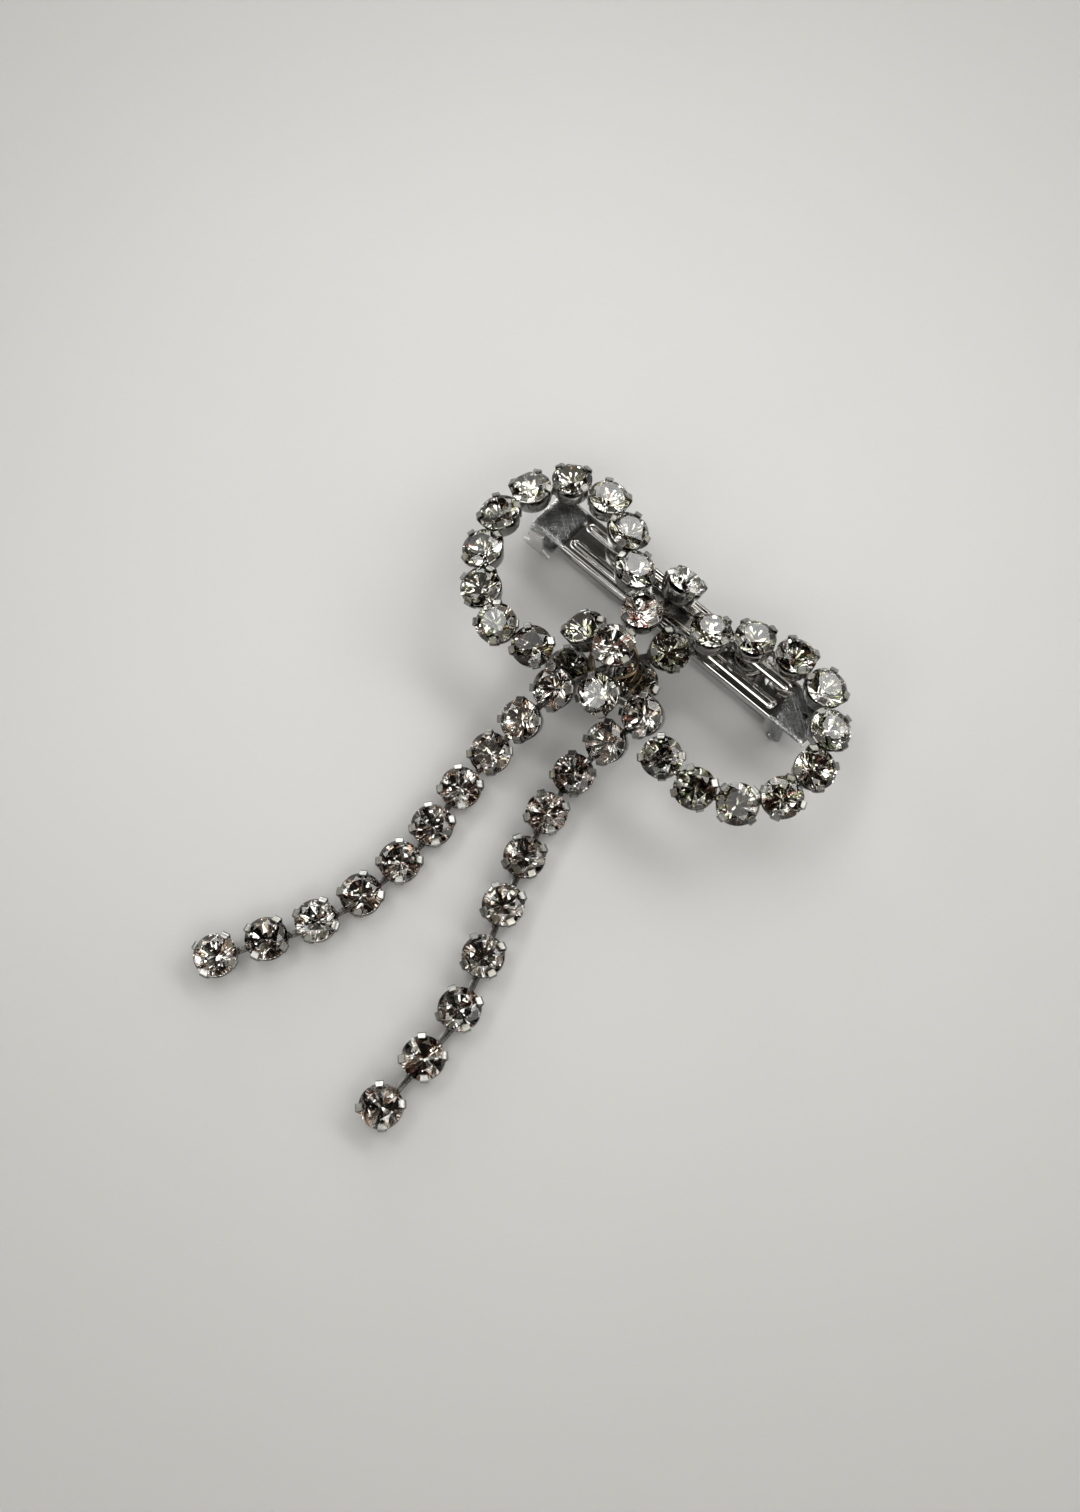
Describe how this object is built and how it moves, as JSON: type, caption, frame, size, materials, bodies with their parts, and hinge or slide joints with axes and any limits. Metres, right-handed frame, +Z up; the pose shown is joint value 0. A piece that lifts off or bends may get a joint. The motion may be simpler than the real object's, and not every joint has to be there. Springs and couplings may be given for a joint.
{
  "type": "rhinestone hair clip",
  "caption": "Bow-shaped rhinestone hair clip: two loops, a raised knot and two flexible tails of crystal cup chain on a metal snap barrette.",
  "frame": {"origin": "on the surface the clip stands on, beneath the middle of the barrette's plate", "axes": "+X along the barrette from the catch to the hinge, -Y the way the tails hang, +Z up through the plate"},
  "size_m": [0.086, 0.1215, 0.0214],
  "materials": {
    "cup_metal": "dark silver rhodium plate on brass cup chain, polished",
    "crystal": "clear faceted glass with a silver foil back",
    "nickel_sheet": "bright nickel-plated pressed steel, brushed at both ends",
    "catch_steel": "pale satin nickel",
    "spring_steel": "nickel-plated spring steel",
    "pin_steel": "plain drawn steel"
  },
  "bodies": {
    "barrette_and_bow": {"top_plate": "nickel_sheet", "hinge_pin": "pin_steel", "catch_base": "nickel_sheet", "spring_rivet": "pin_steel", "knot_settings": "cup_metal", "knot_stone_centre": "crystal", "knot_stone_top": "crystal", "knot_stone_back": "crystal", "knot_stone_upper_left": "crystal", "knot_stone_lower_left": "crystal", "knot_stone_front": "crystal", "knot_stone_lower_right": "crystal", "knot_stone_right": "crystal", "knot_stone_left_anchor": "crystal", "knot_stone_right_anchor": "crystal", "left_loop_settings": "cup_metal", "left_loop_stones": "crystal", "right_loop_settings": "cup_metal", "right_loop_stones": "crystal"},
    "clasp_arm": {"clasp_arm": "spring_steel"},
    "catch_wing_rear": {"catch_wing_rear": "catch_steel"},
    "catch_wing_front": {"catch_wing_front": "catch_steel"},
    "tension_spring": {"tension_spring": "spring_steel"},
    "tail_left_1": {"tail_left_setting_1": "cup_metal", "tail_left_stone_1": "crystal"},
    "tail_left_2": {"tail_left_setting_2": "cup_metal", "tail_left_stone_2": "crystal"},
    "tail_left_3": {"tail_left_setting_3": "cup_metal", "tail_left_stone_3": "crystal"},
    "tail_left_4": {"tail_left_setting_4": "cup_metal", "tail_left_stone_4": "crystal"},
    "tail_left_5": {"tail_left_setting_5": "cup_metal", "tail_left_stone_5": "crystal"},
    "tail_left_6": {"tail_left_setting_6": "cup_metal", "tail_left_stone_6": "crystal"},
    "tail_left_7": {"tail_left_setting_7": "cup_metal", "tail_left_stone_7": "crystal"},
    "tail_left_8": {"tail_left_setting_8": "cup_metal", "tail_left_stone_8": "crystal"},
    "tail_left_9": {"tail_left_setting_9": "cup_metal", "tail_left_stone_9": "crystal"},
    "tail_right_1": {"tail_right_setting_1": "cup_metal", "tail_right_stone_1": "crystal"},
    "tail_right_2": {"tail_right_setting_2": "cup_metal", "tail_right_stone_2": "crystal"},
    "tail_right_3": {"tail_right_setting_3": "cup_metal", "tail_right_stone_3": "crystal"},
    "tail_right_4": {"tail_right_setting_4": "cup_metal", "tail_right_stone_4": "crystal"},
    "tail_right_5": {"tail_right_setting_5": "cup_metal", "tail_right_stone_5": "crystal"},
    "tail_right_6": {"tail_right_setting_6": "cup_metal", "tail_right_stone_6": "crystal"},
    "tail_right_7": {"tail_right_setting_7": "cup_metal", "tail_right_stone_7": "crystal"},
    "tail_right_8": {"tail_right_setting_8": "cup_metal", "tail_right_stone_8": "crystal"},
    "tail_right_9": {"tail_right_setting_9": "cup_metal", "tail_right_stone_9": "crystal"}
  },
  "joints": [
    {"name": "clasp_arm_hinge", "type": "hinge", "parent": "barrette_and_bow", "child": "clasp_arm", "pos_m": [0.0276, 0, 0.00155], "axis": [0, -1, 0], "range_deg": [0, 75]},
    {"name": "catch_wing_rear_flex", "type": "hinge", "parent": "barrette_and_bow", "child": "catch_wing_rear", "pos_m": [-0.0323, 0.0047, 0.0073], "axis": [-1, 0, 0], "range_deg": [0, 6], "stiffness_Nm_per_rad": 0.004},
    {"name": "catch_wing_front_flex", "type": "hinge", "parent": "barrette_and_bow", "child": "catch_wing_front", "pos_m": [-0.0323, -0.0047, 0.0073], "axis": [1, 0, 0], "range_deg": [0, 6], "stiffness_Nm_per_rad": 0.004},
    {"name": "tension_spring_flex", "type": "hinge", "parent": "barrette_and_bow", "child": "tension_spring", "pos_m": [0.031, 0, 0.0073], "axis": [0, 1, 0], "range_deg": [0, 1.2], "stiffness_Nm_per_rad": 0.05},
    {"name": "tail_left_1_swing", "type": "hinge", "parent": "barrette_and_bow", "child": "tail_left_1", "pos_m": [-0.00678, -0.03079, 0.00877], "axis": [0.0798, 0.4627, -0.8829], "range_deg": [-12, 12]},
    {"name": "tail_left_2_drape", "type": "hinge", "parent": "tail_left_1", "child": "tail_left_2", "pos_m": [-0.0081, -0.03845, 0.00464], "axis": [0.9998, -0.0214, 0], "range_deg": [0, 45]},
    {"name": "tail_left_3_swing", "type": "hinge", "parent": "tail_left_2", "child": "tail_left_3", "pos_m": [-0.00828, -0.047, 0.00218], "axis": [-0.0049, 0.087, -0.9962], "range_deg": [-12, 12]},
    {"name": "tail_left_4_drape", "type": "hinge", "parent": "tail_left_3", "child": "tail_left_4", "pos_m": [-0.00778, -0.05595, 0.0014], "axis": [0.9847, 0.1741, 0], "range_deg": [-12, 45]},
    {"name": "tail_left_5_swing", "type": "hinge", "parent": "tail_left_4", "child": "tail_left_5", "pos_m": [-0.00619, -0.06491, 0.0014], "axis": [0, 0, -1], "range_deg": [-12, 12]},
    {"name": "tail_left_6_drape", "type": "hinge", "parent": "tail_left_5", "child": "tail_left_6", "pos_m": [-0.0064, -0.07411, 0.0014], "axis": [0.9912, -0.132, 0], "range_deg": [-18, 45]},
    {"name": "tail_left_7_swing", "type": "hinge", "parent": "tail_left_6", "child": "tail_left_7", "pos_m": [-0.00763, -0.08333, 0.0014], "axis": [0, 0, -1], "range_deg": [-12, 12]},
    {"name": "tail_left_8_drape", "type": "hinge", "parent": "tail_left_7", "child": "tail_left_8", "pos_m": [-0.01086, -0.09216, 0.0014], "axis": [0.8653, -0.5013, 0], "range_deg": [-20, 45]},
    {"name": "tail_left_9_swing", "type": "hinge", "parent": "tail_left_8", "child": "tail_left_9", "pos_m": [-0.01562, -0.10038, 0.0014], "axis": [0, 0, -1], "range_deg": [-12, 12]},
    {"name": "tail_right_1_swing", "type": "hinge", "parent": "barrette_and_bow", "child": "tail_right_1", "pos_m": [0.00868, -0.02358, 0.00877], "axis": [0.1426, 0.4469, -0.8831], "range_deg": [-12, 12]},
    {"name": "tail_right_2_drape", "type": "hinge", "parent": "tail_right_1", "child": "tail_right_2", "pos_m": [0.00634, -0.0309, 0.00469], "axis": [0.999, -0.0441, 0], "range_deg": [0, 45]},
    {"name": "tail_right_3_swing", "type": "hinge", "parent": "tail_right_2", "child": "tail_right_3", "pos_m": [0.00596, -0.03954, 0.00221], "axis": [-0.0186, 0.0851, -0.9962], "range_deg": [-12, 12]},
    {"name": "tail_right_4_drape", "type": "hinge", "parent": "tail_right_3", "child": "tail_right_4", "pos_m": [0.00793, -0.04859, 0.0014], "axis": [0.9446, 0.3283, 0], "range_deg": [-12, 45]},
    {"name": "tail_right_5_swing", "type": "hinge", "parent": "tail_right_4", "child": "tail_right_5", "pos_m": [0.01108, -0.05766, 0.0014], "axis": [0, 0, -1], "range_deg": [-12, 12]},
    {"name": "tail_right_6_drape", "type": "hinge", "parent": "tail_right_5", "child": "tail_right_6", "pos_m": [0.01448, -0.06696, 0.0014], "axis": [0.9181, 0.3963, 0], "range_deg": [-18, 45]},
    {"name": "tail_right_7_swing", "type": "hinge", "parent": "tail_right_6", "child": "tail_right_7", "pos_m": [0.01852, -0.07633, 0.0014], "axis": [0, 0, -1], "range_deg": [-12, 12]},
    {"name": "tail_right_8_drape", "type": "hinge", "parent": "tail_right_7", "child": "tail_right_8", "pos_m": [0.0217, -0.08633, 0.0014], "axis": [0.9994, 0.0355, 0], "range_deg": [-20, 45]},
    {"name": "tail_right_9_swing", "type": "hinge", "parent": "tail_right_8", "child": "tail_right_9", "pos_m": [0.02209, -0.09713, 0.0014], "axis": [0, 0, -1], "range_deg": [-12, 12]}
  ]
}
